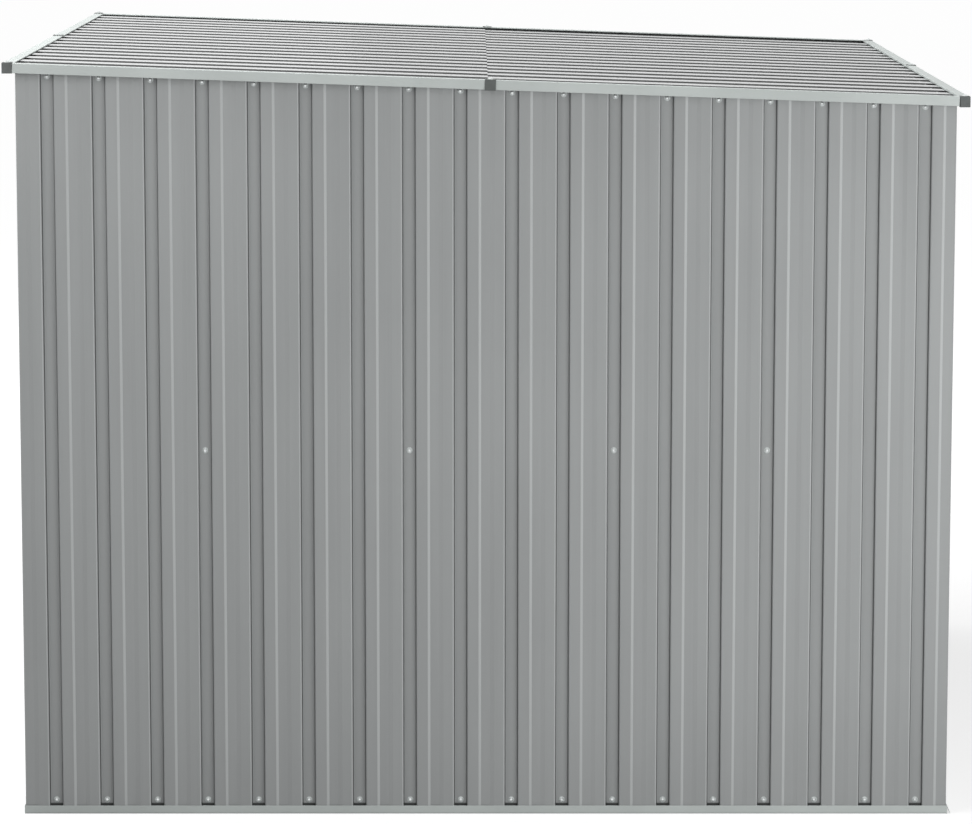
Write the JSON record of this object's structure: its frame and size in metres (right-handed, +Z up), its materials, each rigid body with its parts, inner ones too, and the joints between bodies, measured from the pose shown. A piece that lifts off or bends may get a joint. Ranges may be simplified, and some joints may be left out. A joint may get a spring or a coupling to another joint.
{
  "type": "metal storage shed",
  "caption": "Grey ribbed steel storage shed with a nearly flat single-slope ribbed roof, light edge rails, dark plastic caps and closed doors on its high side.",
  "frame": {"origin": "on the ground under the middle of the roof", "axes": "+Z up; +X down the slope of the roof, so the high side with the doors is -X; -Y is the wall in the picture"},
  "size_m": [2.2602, 2.26, 1.8015],
  "materials": {
    "wall_paint": "satin grey paint on ribbed sheet",
    "roof_paint": "satin grey paint on ribbed sheet",
    "rail_paint": "satin light grey paint on folded steel",
    "cap_plastic": "matt dark grey moulding",
    "frame_zinc": "plain galvanised"
  },
  "bodies": {
    "root": {"base_rail_near": "rail_paint", "base_rail_far": "rail_paint", "base_rail_high": "rail_paint", "base_rail_low": "rail_paint", "near_wall_sheet_1": "wall_paint", "near_wall_sheet_2": "wall_paint", "near_wall_sheet_3": "wall_paint", "near_wall_sheet_4": "wall_paint", "near_wall_sheet_5": "wall_paint", "far_wall_sheets": "wall_paint", "low_wall_sheets": "wall_paint", "high_wall_sheet_near": "wall_paint", "high_wall_sheet_far": "wall_paint", "high_wall_sheet_over_door": "wall_paint", "door_jambs": "rail_paint", "door_header": "rail_paint", "door_leaf_near_frame": "rail_paint", "door_leaf_near_sheet": "wall_paint", "door_leaf_far_frame": "rail_paint", "door_leaf_far_sheet": "wall_paint", "door_handles": "cap_plastic", "door_hinges": "frame_zinc", "top_rails_sloping": "frame_zinc", "top_rail_high": "frame_zinc", "top_rail_low": "frame_zinc", "corner_posts": "frame_zinc", "mid_braces": "frame_zinc", "roof_beam": "frame_zinc", "roof_high_sheet_near": "roof_paint", "roof_high_sheet_mid": "roof_paint", "roof_high_sheet_far": "roof_paint", "roof_low_sheet_near": "roof_paint", "roof_low_sheet_mid": "roof_paint", "roof_low_sheet_far": "roof_paint", "roof_rail_near": "rail_paint", "roof_rail_far": "rail_paint", "roof_rail_high": "rail_paint", "roof_rail_low": "rail_paint", "roof_corner_caps": "cap_plastic", "roof_joint_caps": "cap_plastic"}
  },
  "joints": []
}
